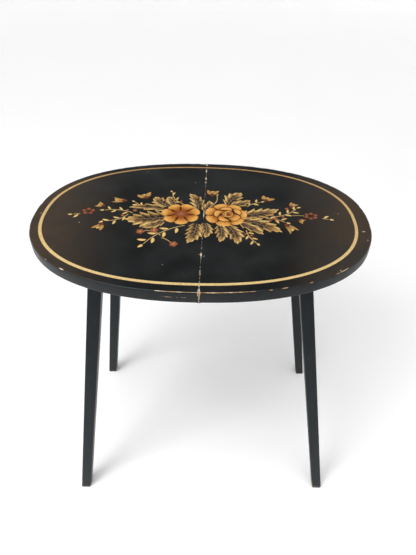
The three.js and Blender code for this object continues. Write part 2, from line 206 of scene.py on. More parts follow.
def lacquer_body(s, cloud, on_face, middle, end_sheen, sheen_from, sheen_to):
    """The black itself: clouded, and with a brown reflection painted into it towards the ends of the top."""
    # Painted reflection: brown on the top face towards the ends, fading a little towards the back.
    slant = s.math("MULTIPLY", s.axis("Y"), 0.12)
    reach = s.math("SUBTRACT", s.math("ABSOLUTE", s.axis("X")), slant)
    end_sheen_share = s.math("MULTIPLY", s.ramp(reach, sheen_from, sheen_to), on_face)
    body = s.mix(end_sheen_share, middle, end_sheen)
    lifted = tuple(CLOUD_LIFT * part for part in middle)
    return s.mix(s.ramp(cloud, 0.35, 0.7, 0.0, 0.55), body, lifted)


def dust_specks(s):
    """Fine specks, thick in some places and absent in others."""
    specks = s.ramp(s.cells(260), 0.05, 0.09, 1.0, 0.0)
    return s.math("MULTIPLY", specks, s.ramp(s.noise(38, 2), 0.54, 0.66))


def chipped_away(s, wear_level):
    """Where the mesh's wear, broken up by noise, is over the level that bares the wood; on the top's front
    rim this also draws a painted highlight as pale wood.
    """
    worn = s.math("ADD", s.attribute("wear"), s.math("MULTIPLY", s.noise(210, 4, 0.65), 0.55))
    return s.ramp(worn, wear_level, wear_level + CHIP_SOFTNESS)


def bared_ground(s, on_face):
    """Wood with remains of primer, and all primer on the face beside the seam."""
    beside_seam = s.ramp(s.math("ABSOLUTE", s.axis("X")), 1.5 * MM, 3 * MM, 1.0, 0.0)
    beside_seam = s.math("MULTIPLY", beside_seam, on_face)
    pale = s.math("MAXIMUM", s.ramp(s.noise(90, 3), 0.45, 0.65), beside_seam)
    return s.mix(pale, BARE_WOOD, PRIMER)


def lacquer(name, middle, end_sheen, sheen_from, sheen_to, wear_level):
    """Black lacquer: cloudy sheen, a painted brown reflection towards the ends of the top, specks of dust,
    fine rubbing, and wood where the edge is worn, which on the top's front rim also draws a painted
    highlight.
    """
    s = Shader(name)
    on_face = s.ramp(s.axis("Z"), TOP_Z - EDGE_ROUND, TOP_Z - EDGE_ROUND / 3)
    cloud = s.noise(14, 4, 0.6)
    body = lacquer_body(s, cloud, on_face, middle, end_sheen, sheen_from, sheen_to)
    dust = dust_specks(s)
    body = s.mix(s.math("MULTIPLY", dust, 0.8), body, DUST)
    chipped = chipped_away(s, wear_level)
    color = s.mix(chipped, body, bared_ground(s, on_face))
    rub = s.noise(1.0, 3, 0.6, s.stretch(700, 60, 60, 0.5))
    gloss = s.ramp(s.math("ADD", cloud, s.math("MULTIPLY", rub, 0.35)), 0.45, 0.95, 0.30, 0.46)
    gloss = s.math("ADD", gloss, s.math("MULTIPLY", chipped, 0.3))
    grain = s.noise(1.0, 5, 0.7, s.stretch(30, 420, 420))
    relief = s.math("ADD", s.math("MULTIPLY", grain, 0.5), s.math("MULTIPLY", chipped, -1.5))
    s.bump(s.math("ADD", relief, s.math("MULTIPLY", dust, 0.6)), 0.35, 0.12 * MM)
    s.surface.inputs["Specular Tint"].default_value = COOL_SHEEN
    return s.finish(color, gloss, specular=LACQUER_SPECULAR)


def stained_wood():
    """Thin black stain on the rails and the keel block: the grain shows through."""
    s = Shader("stained_wood")
    grain = s.noise(1.0, 6, 0.7, s.stretch(260, 9, 260))
    pores = s.ramp(s.noise(1.0, 3, 0.5, s.stretch(900, 40, 900)), 0.56, 0.62)
    color = s.mix(s.ramp(grain, 0.35, 0.7), (0.012, 0.010, 0.009), (0.050, 0.036, 0.026))
    color = s.mix(s.math("MULTIPLY", pores, 0.6), color, (0.006, 0.005, 0.005))
    s.bump(s.math("SUBTRACT", grain, pores), 0.4, 0.2 * MM)
    return s.finish(color, s.ramp(grain, 0.3, 0.7, 0.5, 0.72))


def bare_wood():
    """Turned hardwood, left bare, on the dowels."""
    s = Shader("dowel_wood")
    grain = s.noise(1.0, 5, 0.65, s.stretch(400, 14, 400))
    color = s.mix(s.ramp(grain, 0.3, 0.7), (0.42, 0.27, 0.14), (0.62, 0.44, 0.26))
    s.bump(grain, 0.3, 0.2 * MM)
    return s.finish(color, s.ramp(grain, 0.3, 0.7, 0.6, 0.8))


def plated(name, bright, dull, spot):
    """Plated steel: brushed lines, dull patches and small spots of tarnish."""
    s = Shader(name)
    lines = s.noise(1.0, 2, 0.6, s.stretch(1800, 90, 1800))
    patch = s.noise(120, 4, 0.6)
    color = s.mix(s.ramp(patch, 0.35, 0.7), bright, dull)
    spots = s.ramp(s.noise(420, 3, 0.6), 0.60, 0.68)
    color = s.mix(s.math("MULTIPLY", spots, 0.7), color, spot)
    rough = s.math("ADD", s.ramp(patch, 0.3, 0.7, 0.26, 0.46), s.math("MULTIPLY", spots, 0.25))
    s.bump(s.math("ADD", lines, s.math("MULTIPLY", spots, -0.6)), 0.15, 0.1 * MM)
    return s.finish(color, rough, metallic=0.92)


def paint():
    """Stencil paint with bronze powder: the colour is laid on by each stroke, rubbed thin in spots."""
    s = Shader("bronze_paint")
    laid = s.attribute("paint", "Color")
    mottle = s.noise(330, 4, 0.6)
    dark = s.mix(1.0, laid, laid)
    dark.node.blend_type = "MULTIPLY"
    color = s.mix(s.ramp(mottle, 0.38, 0.68, 0.0, 0.45), laid, dark)
    thin = s.math("MULTIPLY", s.ramp(s.noise(150, 5, 0.7), 0.62, 0.72), 0.6)
    color = s.mix(thin, color, (0.016, 0.014, 0.012))
    s.bump(mottle, 0.25, 0.06 * MM)
    return s.finish(color, s.ramp(mottle, 0.3, 0.7, 0.42, 0.6), metallic=0.1)


# ---- Mesh helpers -----------------------------------------------------------------------

def make_object(name, bm, material, body, smooth=True):
    for face in bm.faces:
        face.smooth = smooth
    mesh = bpy.data.meshes.new(name)
    bm.to_mesh(mesh)
    bm.free()
    obj = bpy.data.objects.new(name, mesh)
    bpy.context.scene.collection.objects.link(obj)
    mesh.materials.append(material)
    if body:
        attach(obj, body)
    return obj


def bridge(bm, first, second, closed=True):
    """Quads between two rings of vertices."""
    count = len(first)
    for i in range(count if closed else count - 1):
        j = (i + 1) % count
        bm.faces.new((first[i], first[j], second[j], second[i]))


def bridge_all(bm, rings, closed=True):
    for first, second in zip(rings, rings[1:]):
        bridge(bm, first, second, closed)


def close_tube(bm, rings):
    """Joins rings into a closed body with a flat face at either end."""
    bridge_all(bm, rings)
    bm.faces.new(rings[-1])
    bm.faces.new(list(reversed(rings[0])))
    bmesh.ops.recalc_face_normals(bm, faces=bm.faces)


def clamp(value, low=0.0, high=1.0):
    return max(low, min(high, value))


def smoothstep(value, low, high):
    t = clamp((value - low) / (high - low))
    return t * t * (3 - 2 * t)


def blend_color(share, first, second):
    return tuple(a + (b - a) * share for a, b in zip(first, second))


# ---- Leaves -----------------------------------------------------------------------------

def oval_point(turn, half_length, half_width, power=OVAL_POWER):
    """A point of the superellipse, with turn running from 0 at the back round to pi at the front."""
    x = half_length * math.sin(turn) ** (2 / power)
    y = half_width * math.copysign(abs(math.cos(turn)) ** (2 / power), math.cos(turn))
    return Vector((x, y))


def half_oval(half_length, half_width, start_x, steps):
    """Points of half an oval at about even steps, from the back end of the seam to the front."""
    fine = [oval_point(math.pi * i / 4000, half_length, half_width) for i in range(4001)]
    fine = [point for point in fine if point.x >= start_x]
    lengths = [0.0]
    for a, b in zip(fine, fine[1:]):
        lengths.append(lengths[-1] + (b - a).length)
    points, at = [], 0
    for i in range(steps + 1):
        goal = lengths[-1] * i / steps
        while at < len(lengths) - 2 and lengths[at + 1] < goal:
            at += 1
        share = (goal - lengths[at]) / max(1e-9, lengths[at + 1] - lengths[at])
        points.append(fine[at].lerp(fine[at + 1], share))
    points[0].x = points[-1].x = start_x
    return points


# Stretches of the rim's upper edge where the lacquer is rubbed to the wood: (x, y sign, reach, level). The
# front ones at 0.120 and -0.180 are partly a painted highlight of the rounded edge, drawn as pale rubbed
# lines.
RIM_WEAR_AND_HIGHLIGHT = [
    (-0.034, -1, 0.030, 0.28), (0.034, -1, 0.040, 0.27), (0.196, -1, 0.020, 0.40), (-0.105, -1, 0.016, 0.26),
    # The stretch at 0.120 here and the one at -0.180 below are partly a painted highlight along the rounded
    # front edge.
    (0.247, 1, 0.014, 0.30), (0.256, -1, 0.012, 0.28), (-0.258, 1, 0.012, 0.28), (0.120, -1, 0.05, 0.27),
    (-0.180, -1, 0.06, 0.24), (0.0, 1, 0.008, 0.5),
]


def rim_wear_and_highlight(x, y):
    # Rubbed wear along the rim, with a painted highlight on two front stretches.
    level = 0.10
    for at, sign, reach, strength in RIM_WEAR_AND_HIGHLIGHT:
        if y * sign > 0:
            level = max(level, strength * (1 - smoothstep(abs(x - at), 0.4 * reach, reach)) + 0.08)
    return level


# Places along the seam where the lacquer is chipped from its edge: (y, reach, level)
SEAM_WEAR = [
    (0.180, 0.012, 1.0), (0.150, 0.008, 0.8), (0.122, 0.007, 0.8), (0.108, 0.004, 0.8), (0.010, 0.022, 0.6),
    (-0.030, 0.012, 0.6), (-0.100, 0.006, 0.8), (-0.140, 0.010, 0.6), (-0.164, 0.006, 0.7),
    (-0.180, 0.012, 1.0),
]
SIDE_SCRATCH = (-0.050, -0.014)  # a rubbed line half way down the front rim
EDGE_LINE = (-0.057, 0.075)  # a fine worn line along the front edge


def seam_wear(y):
    level = 0.42
    for at, reach, strength in SEAM_WEAR:
        level = max(level, strength * (1 - smoothstep(abs(y - at), 0.3 * reach, reach)))
    return level


BOARD_TOP, BOARD_LOW = TOP_Z - PAINT_BED, TOP_Z - BOARD
RIM_STEPS, SEAM_STEPS = 220, 176
SEAM_ROUND = 0.35 * MM  # the seam's edges are crisper than the rim's
EDGE_TURNS = [math.pi / 2 * i / 5 for i in range(6)]  # one ring of vertices at each, on both rounds
SIDE_SHARES = (0.42, 0.5, 0.58)  # rings between the two rounds, as shares of the thickness
SCRATCH_RING = len(EDGE_TURNS) + 1
UPPER_RING = len(EDGE_TURNS) + len(SIDE_SHARES)
LINE_RING = UPPER_RING + 3
CHIP_SEED = {"left": 11, "right": 12}
CHIP_COUNT = 34
FRONT_CHIP = 1.0 * MM  # at the seam's front end
BACK_CHIP = (3.0 * MM, 2.7 * MM, 2.0 * MM, 0.9 * MM)  # at its back end, on the left leaf
SCRATCH_WEAR, LINE_WEAR, CHIP_WEAR = 0.40, 0.56, 0.4
# Rings on the face that take the wear down to nothing: how far inside the edge, and how worn
INNER_RINGS = ((0.6 * MM, 0.10), (2.6 * MM, 0.0))


def leaf_outline():
    """A leaf's edge, right round, as points with their inward directions and their zones."""
    rim = half_oval(HALF_LENGTH, HALF_WIDTH, SEAM_SHOWN, RIM_STEPS)
    front, back = rim[-1], rim[0]
    seam = [front.lerp(back, (i + 0.5) / SEAM_STEPS) for i in range(SEAM_STEPS)]
    points = rim + seam
    inward = []
    for i, point in enumerate(points):
        run = points[(i + 1) % len(points)] - points[i - 1]
        inward.append(Vector((run.y, -run.x)).normalized())
    zones = ["rim"] * len(rim) + ["seam"] * len(seam)
    zones[0] = zones[RIM_STEPS] = "corner"
    return list(zip(points, inward, zones))


def edge_chips(side, count):
    """The depth of the chips in the upper edge, at each point of the outline."""
    rng = random.Random(CHIP_SEED[side])
    chips = [0.0] * count
    for _ in range(CHIP_COUNT):
        at = rng.randrange(count)
        size = rng.uniform(0.2, 0.9) * MM
        for step in range(-1, 2):
            near = (at + step) % count
            chips[near] = max(chips[near], size * (1 - 0.5 * abs(step)))
    chips[RIM_STEPS] = FRONT_CHIP
    if side == "left":
        chips[:len(BACK_CHIP)] = BACK_CHIP
    return chips


def edge_levels():
    """The rings from the lower face to the upper one: a share of the round's inset, and a height."""
    levels = [(1 - math.sin(t), BOARD_LOW + EDGE_ROUND * (1 - math.cos(t))) for t in EDGE_TURNS]
    levels += [(0.0, BOARD_LOW + BOARD * share) for share in SIDE_SHARES]
    levels += [(1 - math.cos(t), BOARD_TOP - EDGE_ROUND * (1 - math.sin(t))) for t in EDGE_TURNS]
    return levels


def edge_height(level, z, zone):
    """The height of a ring, drawn towards the face where the edge is the seam's crisp one."""
    on_side = len(EDGE_TURNS) <= level < UPPER_RING
    if zone == "rim" or on_side:
        return z
    face = BOARD_TOP if level >= UPPER_RING else BOARD_LOW
    return face + (z - face) * (SEAM_ROUND / EDGE_ROUND)


def edge_wear_and_highlight(level, x, y, zone, nick):
    """How worn the edge is at a point of a ring, with the painted highlight along the rim's front edge
    counted as wear.
    """
    upper = level >= UPPER_RING
    near_edge = 1 - abs(level - UPPER_RING - 2.5) / 3.0 if upper else 0.0
    if zone == "corner":
        near_edge = 0.50 if upper else 0.42
    if zone == "seam" and level > UPPER_RING + 2:
        near_edge = max(near_edge, 0.75)
    worn = rim_wear_and_highlight(x, y) if zone == "rim" else seam_wear(y)
    wear = max(0.0, worn * near_edge) + CHIP_WEAR * min(1.0, nick / MM)
    if level == SCRATCH_RING and y < 0 and SIDE_SCRATCH[0] < x < SIDE_SCRATCH[1]:
        wear = SCRATCH_WEAR
    if level == LINE_RING and y < 0 and EDGE_LINE[0] < x < EDGE_LINE[1] and zone != "seam":
        wear = max(wear, LINE_WEAR)
    return wear


def edge_ring(bm, wear, outline, chips, sign, level, share, z):
    """One ring of vertices round the leaf's edge."""
    ring = []
    for (point, inward, zone), chip in zip(outline, chips):
        inset = share * (EDGE_ROUND if zone == "rim" else SEAM_ROUND)
        nick = 0.0
        if level >= UPPER_RING:
            nick = max(0.0, chip * (1 - abs(level - UPPER_RING - 2) / 3.5))
        height = edge_height(level, z, zone)
        if level > UPPER_RING + 1:
            height -= nick * 0.6
        place = point + inward * (inset + nick)
        vert = bm.verts.new((sign * place.x, place.y, height))
        vert[wear] = edge_wear_and_highlight(level, sign * point.x, point.y, zone, nick)
        ring.append(vert)
    return ring


def face_ring(bm, wear, outline, sign, reach, level):
    """One ring of vertices on the upper face, inside the edge."""
    ring = []
    for point, inward, zone in outline:
        place = point + inward * ((SEAM_ROUND if zone == "seam" else EDGE_ROUND) + reach)
        if zone == "corner":
            place.x = SEAM_SHOWN + SEAM_ROUND + reach
        vert = bm.verts.new((sign * place.x, place.y, BOARD_TOP))
        follows_seam = zone == "seam" and level > 0
        vert[wear] = max(level, 0.5 * seam_wear(place.y)) if follows_seam else level
        ring.append(vert)
    return ring


def leaf_board(side):
    """Half the top: a board with rounded rim edges, a crisp seam edge and small chips along it."""
    sign = SIDES[side]
    outline = leaf_outline()
    chips = edge_chips(side, len(outline))
    bm = bmesh.new()
    wear = bm.verts.layers.float.new("wear")
    rings = []
    for level, (share, z) in enumerate(edge_levels()):
        rings.append(edge_ring(bm, wear, outline, chips, sign, level, share, z))
    for reach, level in INNER_RINGS:
        rings.append(face_ring(bm, wear, outline, sign, reach, level))
    close_tube(bm, rings)
    obj = make_object(f"top_board_{side}", bm, top_lacquer, f"leaf_{side}")
    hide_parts(f"leaf_{side}")


# ---- Painted decoration -----------------------------------------------------------------

def srgb(red, green, blue):
    """A paint colour named as on a colour card, from 0 to 255, as linear light."""
    parts = [part / 255 for part in (red, green, blue)]
    return tuple(part / 12.92 if part < 0.0405 else ((part + 0.055) / 1.055) ** 2.4 for part in parts)


AMBER, ORANGE, PALE_GOLD = srgb(214, 148, 60), srgb(152, 78, 22), srgb(236, 190, 106)
GOLD, BRONZE, CREAM = srgb(206, 162, 90), srgb(102, 72, 34), srgb(238, 208, 138)
RUST, RUST_LIGHT, VEIN = srgb(128, 62, 34), srgb(176, 110, 70), srgb(176, 148, 112)
GROUND, DARK_LINE = srgb(24, 20, 17), srgb(52, 22, 10)
# The line's front colour is paler with a painted highlight; the back one is duller.
STRIPE_BACK, STRIPE_FRONT_HIGHLIGHT = srgb(180, 140, 86), srgb(226, 198, 140)
STRIPE_INSET_X, STRIPE_INSET_Y = 19.4, 16.4  # the painted line, in mm from the edge of the top
STRIPE_WIDTH, STRIPE_SHIFT, STRIPE_POWER = 4.8, -4.0, 2.29
PAINT_LAYER, PAINT_FILM = 0.02 * MM, 0.05 * MM
SPRAY_FORWARD = -2.6 * MM
ROWS_PER_TOOTH = 6
BERRY_RADIUS = 3.2


def stroke_line(base, tip):
    """The foot of a stroke, the way along it, and the unit direction to its left."""
    base = Vector(base)
    along = Vector(tip) - base
    return base, along, Vector((-along.y, along.x)).normalized()


def bowed(base, along, side, bend, at):
    """A point of a stroke's middle line, which bows to its left by its bend."""
    return base + along * at + side * (bend * along.length * 4 * at * (1 - at))


def heading(turn, stretch=1.0):
    return Vector((stretch * math.cos(turn), math.sin(turn)))


class Painting:
    """Flat strokes of paint over the whole top, in mm, each on a numbered layer."""

    def __init__(self):
        self.bm = bmesh.new()
        self.tint = self.bm.verts.layers.float_color.new("paint")

    def sheet(self, place, color, layer, rows, columns):
        """place and color take u from 0 to 1 along the stroke, and v from -1 to 1 across it."""
        z = TOP_Z - PAINT_BED + layer * PAINT_LAYER
        grid = []
        for i in range(rows + 1):
            row = []
            for j in range(columns + 1):
                u, v = i / rows, 2 * j / columns - 1
                point = place(u, v)
                vert = self.bm.verts.new((point.x * MM, point.y * MM, z))
                vert[self.tint] = (*color(u, v), 1.0)
                row.append(vert)
            grid.append(row)
        bridge_all(self.bm, grid, closed=False)

    def blade(self, base, tip, half_width, color, layer, bend=0.0, lean=0.0, rows=14, columns=6):
        """A stroke from base to tip: bend bows it to its left, and lean sweeps its edges forward."""
        base, along, side = stroke_line(base, tip)
        forward = along.normalized()

        def place(u, v):
            middle = bowed(base, along, side, bend, u)
            return middle + side * (v * half_width(u)) + forward * (lean * abs(v) * half_width(u))

        self.sheet(place, color, layer, rows, columns)

    def stem(self, base, tip, bend=0.0, width=1.1, color=CREAM, layer=1):
        """A thin line, broader and duller at its foot."""
        faded = blend_color(0.45, color, BRONZE)
        self.blade(base, tip, lambda u: width * (0.55 - 0.3 * u),
                   lambda u, v: blend_color(u, faded, color), layer, bend, columns=2)

    def almond(self, base, tip, width, layer=4, heart=CREAM, rim=GOLD):
        """A small plain leaf, pale along the middle."""
        self.blade(base, tip, lambda u: width / 2 * math.sin(math.pi * u ** 0.85) ** 0.8,
                   lambda u, v: blend_color(abs(v) ** 2 * 0.8 + 0.2 * (1 - u), heart, rim), layer,
                   bend=0.06, rows=8, columns=4)

    def petal(self, base, tip, width, layer=7, shade=ORANGE, body=AMBER, rim=PALE_GOLD, blunt=5):
        """A broad petal: deep colour at its foot, a pale turned edge and faint streaks."""
        def half_width(u):
            swell = 0.34 + 0.66 * math.sin(math.pi / 2 * u ** 0.8)
            return width / 2 * swell * max(0, 1 - u ** blunt) ** 0.5

        def color(u, v):
            streak = 0.22 * (0.5 + 0.5 * math.cos(12 * v + 3 * u)) * (1 - 0.6 * u)
            laid = blend_color(clamp(smoothstep(u, 0.0, 0.75) - streak), shade, body)
            glow = smoothstep(u, 0.45, 0.9) * (1 - 0.5 * abs(v + 0.25))
            fold = smoothstep(abs(v), 0.80, 1.0) * 0.45
            return blend_color(fold, blend_color(0.85 * glow, laid, rim), shade)

        self.blade(base, tip, half_width, color, layer, rows=16, columns=8)

    def toothed_leaf(self, base, tip, width, teeth=4, bend=0.0, layer=2):
        """A leaf stencilled from its edge: gold on the teeth, fading to the ground, then veins."""
        def half_width(u):
            swell = math.sin(math.pi * min(1.0, 0.08 + 0.92 * u) ** 0.72)
            notch = 0.50 + 0.50 * ((u * teeth + 0.35) % 1) ** 1.4
            return width / 2 * max(0.0, swell) ** 0.85 * (notch if u < 0.9 else 0.5)

        def color(u, v):
            edge = max(smoothstep(abs(v + 0.12), 0.12, 0.95), smoothstep(u, 0.45, 1.0))
            lobe = 0.5 + 0.5 * math.sin(2 * math.pi * (u * teeth - 0.25 * abs(v)) + 2.6)
            sun = (0.55 + 0.45 * lobe) * (1.0 if v < 0 else 0.8)
            laid = blend_color(smoothstep(edge, 0.0, 0.45), GROUND, BRONZE)
            laid = blend_color(smoothstep(edge, 0.25, 0.9) * sun, laid, GOLD)
            return blend_color(smoothstep(edge, 0.65, 1.0) * (0.3 + 0.6 * lobe), laid, CREAM)

        rows = teeth * ROWS_PER_TOOTH
        self.blade(base, tip, half_width, color, layer, bend, lean=0.45, rows=rows, columns=8)
        base, along, side = stroke_line(base, tip)
        self.stem(base + along * 0.04, base + along * 0.80, bend, 1.2, VEIN, layer + 1)
        for i in range(1, 2 * teeth - 1):
            root = 0.08 + 0.72 * i / (2 * teeth)
            hand = 1 if i % 2 else -1
            start = bowed(base, along, side, bend, root)
            reach = side * (hand * width * 0.20) + along * 0.13
            self.stem(start, start + reach, 0.08 * hand, 1.0, VEIN, layer + 1)

    def disc(self, middle, radius, inner, outer, layer, lobes=0):
        """A round dab, or a small blossom when it has lobes."""
        middle = Vector(middle)

        def place(u, v):
            reach = radius * u * (1 + (0.16 * math.cos(lobes * math.pi * v) if lobes else 0.0))
            return middle + heading(math.pi * v) * reach

        self.sheet(place, lambda u, v: blend_color(u ** 2, inner, outer), layer, 4, 20)

    def berries(self, middle, count, spread):
        """A ring of berries, each with a dark eye."""
        for i in range(count):
            place = Vector(middle) + heading(2 * math.pi * i / count + 0.4, 1.15) * spread
            self.disc(place, BERRY_RADIUS, RUST_LIGHT, RUST, 5)
            self.disc(place, BERRY_RADIUS * 0.3, DARK_LINE, RUST, 6)

    def bud(self, base, tip, width):
        """A half-open flower: a cup of three pointed petals on a small calyx."""
        base, along, side = stroke_line(base, tip)
        side = side * width / 2
        self.petal(base + along * 0.1, base + along * 0.86, width * 0.8, 5, BRONZE, GOLD, CREAM, blunt=3)
        for hand in (-1, 1):
            self.almond(base + along * 0.15, Vector(tip) + side * hand, width * 0.42, 6, GOLD, BRONZE)
        self.almond(base, base + along * 0.45, width * 0.5, 7, RUST, DARK_LINE)

    def twig(self, base, tip, bend, leaves, size, fruit=0):
        """A bowed stem with leaves set along it by turns, and a berry or two among them."""
        self.stem(base, tip, bend, 1.6)
        base, along, side = stroke_line(base, tip)
        for i in range(leaves):
            at = 0.16 + 0.84 * i / max(1, leaves - 1)
            hand = -1 if i % 2 else 1
            start = bowed(base, along, side, bend, at)
            reach = along.normalized() * size * 0.75 + side * hand * size * (0.8 if at < 0.95 else 0.1)
            self.almond(start + reach * 0.18, start + reach * 1.18, size * 0.42)
            if i < fruit:
                place = start - reach * 0.55 + along.normalized() * size * 0.7
                self.disc(place, size * 0.26, RUST_LIGHT, RUST, 5)

    def open_bloom(self, middle, radius, petals):
        """A single flower seen from above."""
        middle = Vector(middle)
        wide = 1.8 * radius * math.pi / petals
        for i in range(petals):
            out = heading(2 * math.pi * (i + 0.35) / petals, 1.03)
            self.petal(middle + out * radius * 0.26, middle + out * radius, wide)
        self.disc(middle, radius * 0.32, ORANGE, ORANGE, 8)
        self.disc(middle, radius * 0.29, RUST_LIGHT, RUST, 9)
        for i in range(16):
            out = heading(2 * math.pi * i / 16) * radius
            self.stem(middle + out * 0.10, middle + out * 0.27, 0, 0.8, RUST, 10)

    def shaded_petal(self, base, tip, width, layer):
        """A petal that lies on others, with its shadow drawn round it."""
        base, tip = Vector(base), Vector(tip)
        past = (tip - base).normalized() * 1.1
        self.blade(base, tip + past, lambda u: (width / 2 + 1.0) * max(0, 1 - u ** 5) ** 0.5,
                   lambda u, v: DARK_LINE, layer)
        self.petal(base, tip, width, layer + 0.5)

    def crescent(self, middle, radius, start, end, thick, layer):
        """A curled inner petal: an arc about the flower's heart with a dark outline."""
        middle = Vector(middle)

        def arc(grow):
            def place(u, v):
                turn = math.radians(start + (end - start) * u)
                reach = radius + v * (thick / 2 * math.sin(math.pi * u) ** 0.6 + grow)
                return middle + heading(turn) * reach
            return place

        self.sheet(arc(0.6), lambda u, v: DARK_LINE, layer, 20, 2)
        self.sheet(arc(0.0), lambda u, v: blend_color(smoothstep(v, -1.0, 0.8), ORANGE, PALE_GOLD),
                   layer + 0.5, 20, 6)

    def rose(self, middle, radius):
        """A double flower: broad outer petals, a ring of smaller ones, and curled ones at the heart."""
        middle = Vector(middle)
        self.disc(middle, radius * 0.7, DARK_LINE, DARK_LINE, 6)
        for i in range(7):
            out = heading(2 * math.pi * (i + 0.1) / 7, 1.04)
            self.petal(middle + out * radius * 0.30, middle + out * radius, radius * 0.83)
        heart = middle + Vector((0.10, 0.04)) * radius
        for i in range(5):
            out = heading(2 * math.pi * (i + 0.4) / 5, 1.06)
            self.shaded_petal(heart + out * radius * 0.06, heart + out * radius * 0.64, radius * 0.66, 8 + i)
        self.disc(heart, radius * 0.30, DARK_LINE, DARK_LINE, 13)
        self.disc(heart, radius * 0.27, ORANGE, AMBER, 13.5)
        for start, reach in ((30, 0.21), (200, 0.19), (110, 0.11)):
            self.crescent(heart, radius * reach, start, start + 140, radius * 0.11, 14)
        self.disc(heart, radius * 0.07, RUST, DARK_LINE, 15)

    def stripe(self):
        """The painted line inside the edge of the top, broader towards the front and brighter there with a
        painted highlight.
        """
        half_length = HALF_LENGTH / MM - STRIPE_INSET_X
        half_width = HALF_WIDTH / MM - STRIPE_INSET_Y

        def edge(turn):
            return oval_point(clamp(turn, 0.0, math.pi), half_length, half_width, STRIPE_POWER)

        def color(u, v):
            # Painted highlight: the line pales from the back towards the front.
            return blend_color(smoothstep(u, 0.0, 0.75), STRIPE_BACK, STRIPE_FRONT_HIGHLIGHT)

        for hand in (-1, 1):
            def place(u, v):
                turn = math.pi * u
                run = edge(turn + 0.004) - edge(turn - 0.004)
                reach = v * STRIPE_WIDTH / 2 * (0.8 + 0.2 * smoothstep(u, 0.05, 0.5))
                point = edge(turn) + Vector((run.y, -run.x)).normalized() * reach
                return Vector((hand * point.x + STRIPE_SHIFT, point.y))

            self.sheet(place, color, 1, 200, 4)

    def fleck(self, x, y, length, width, turn):
        """A small chip that shows the primer."""
        reach = heading(turn) * length / 2
        middle = Vector((x, y))
        self.blade(middle - reach, middle + reach, lambda u: width / 2 * math.sin(math.pi * u) ** 0.5,
                   lambda u, v: PRIMER, 3, rows=6, columns=2)

    def cut_for(self, side):
        """The strokes on one leaf, cut off square at the seam."""
        half = self.bm.copy()
        keep = SIDES[side]
        bmesh.ops.bisect_plane(
            half, geom=half.verts[:] + half.edges[:] + half.faces[:], dist=1e-7,
            plane_co=(keep * SEAM_SHOWN * 2, 0, 0), plane_no=(-keep, 0, 0), clear_outer=True,
        )
        bmesh.ops.remove_doubles(half, verts=half.verts, dist=1e-6)
        for face in half.faces:
            if face.normal.z < 0:
                face.normal_flip()
        name = f"painted_spray_{side}"
        film = make_object(name, half, paint_finish, f"leaf_{side}", False)
        closed = film.modifiers.new("film", "SOLIDIFY")
        closed.thickness = PAINT_FILM
        closed.offset = -1


def paint_leaves(p):
    """The leaves that fan out from behind the two flowers: base, tip, width and teeth."""
    p.toothed_leaf((-58, -2), (-121, -10), 54, 5, 0.05)
    p.toothed_leaf((-62, 20), (-120, 24), 24, 3, -0.08, 4)
    p.toothed_leaf((-60, -14), (-92, -32), 22, 3, 0.06, 6)
    p.toothed_leaf((-56, 30), (-82, 58), 34, 4, 0.08)
    p.toothed_leaf((-50, 34), (-62, 58), 20, 3, -0.06, 4)
    p.toothed_leaf((-8, 22), (-26, 71), 30, 4, -0.10)
    p.toothed_leaf((-1, 20), (8, 50), 18, 3, -0.10)
    p.toothed_leaf((38, 36), (62, 78), 40, 4, 0.08)
    p.toothed_leaf((44, 36), (76, 54), 24, 3, -0.06, 4)
    p.toothed_leaf((60, 8), (121, 28), 38, 5, -0.06)
    p.toothed_leaf((58, -6), (121, -37), 42, 5, 0.06, 4)
    p.toothed_leaf((58, -14), (92, -44), 24, 3, 0.04, 6)
    p.toothed_leaf((36, -20), (52, -70), 34, 4, 0.10)
    p.toothed_leaf((26, -22), (26, -66), 26, 4, 0.08, 4)
    p.toothed_leaf((-10, -18), (-22, -70), 34, 5, 0.08)
    p.toothed_leaf((2, -16), (4, -56), 24, 4, 0.10, 4)


def paint_twigs(p):
    """The light sprays at the ends and below the flowers: base, tip, bow, leaves and their size."""
    p.twig((-28, -24), (-84, -74), -0.10, 7, 13)
    p.twig((-118, 4), (-152, -16), 0.16, 5, 10, 1)
    p.twig((-112, 8), (-156, 14), -0.10, 5, 9, 1)
    p.twig((-88, 26), (-112, 40), 0.10, 4, 8)
    p.twig((-34, 38), (-54, 74), 0.14, 5, 8, 2)
    p.twig((12, 34), (20, 66), -0.12, 2, 7)
    p.twig((70, 34), (92, 48), 0.10, 4, 9)
    p.twig((66, -34), (80, -66), -0.08, 5, 9, 2)
    p.twig((114, 6), (150, 32), -0.10, 6, 10, 1)
    p.twig((98, 0), (128, -10), 0.10, 4, 10, 1)
    p.twig((188, 4), (198, 2), 0.0, 2, 10)
    p.twig((-192, 2), (-202, 0), 0.0, 2, 10)
    p.stem((141, 10), (160, 10), 0.05)
    p.stem((-62, -52), (-92, -42), -0.2, 1.4)
    p.stem((-60, -58), (-44, -72), 0.1, 1.4)


def paint_buds(p):
    """Half-open flowers, small rust-red blossoms and clusters of berries."""
    p.bud((-158, 26), (-172, 32), 14)
    p.bud((-124, 44), (-150, 46), 14)
    p.bud((-94, 52), (-102, 68), 24)
    p.bud((-152, -22), (-160, -40), 16)
    p.bud((12, 64), (14, 84), 20)
    p.bud((100, 52), (108, 66), 22)
    p.bud((126, -14), (140, -36), 16)
    p.bud((148, -2), (158, -8), 12)
    p.bud((140, 34), (150, 48), 13)
    for x, y in ((-73, -39), (-93, -43), (-41, -73)):
        p.disc((x, y), 6.2, RUST_LIGHT, RUST, 5, lobes=5)
        p.disc((x, y), 1.6, CREAM, DARK_LINE, 6)
    p.berries((-181, 10), 5, 6.2)
    p.berries((171, 10), 6, 7.0)
    p.disc((-109, 15), 3.4, RUST_LIGHT, RUST, 6)
    p.disc((134, 30), 3.2, RUST_LIGHT, RUST, 6)
    p.disc((113, 0), 4.2, RUST_LIGHT, RUST, 6, lobes=5)


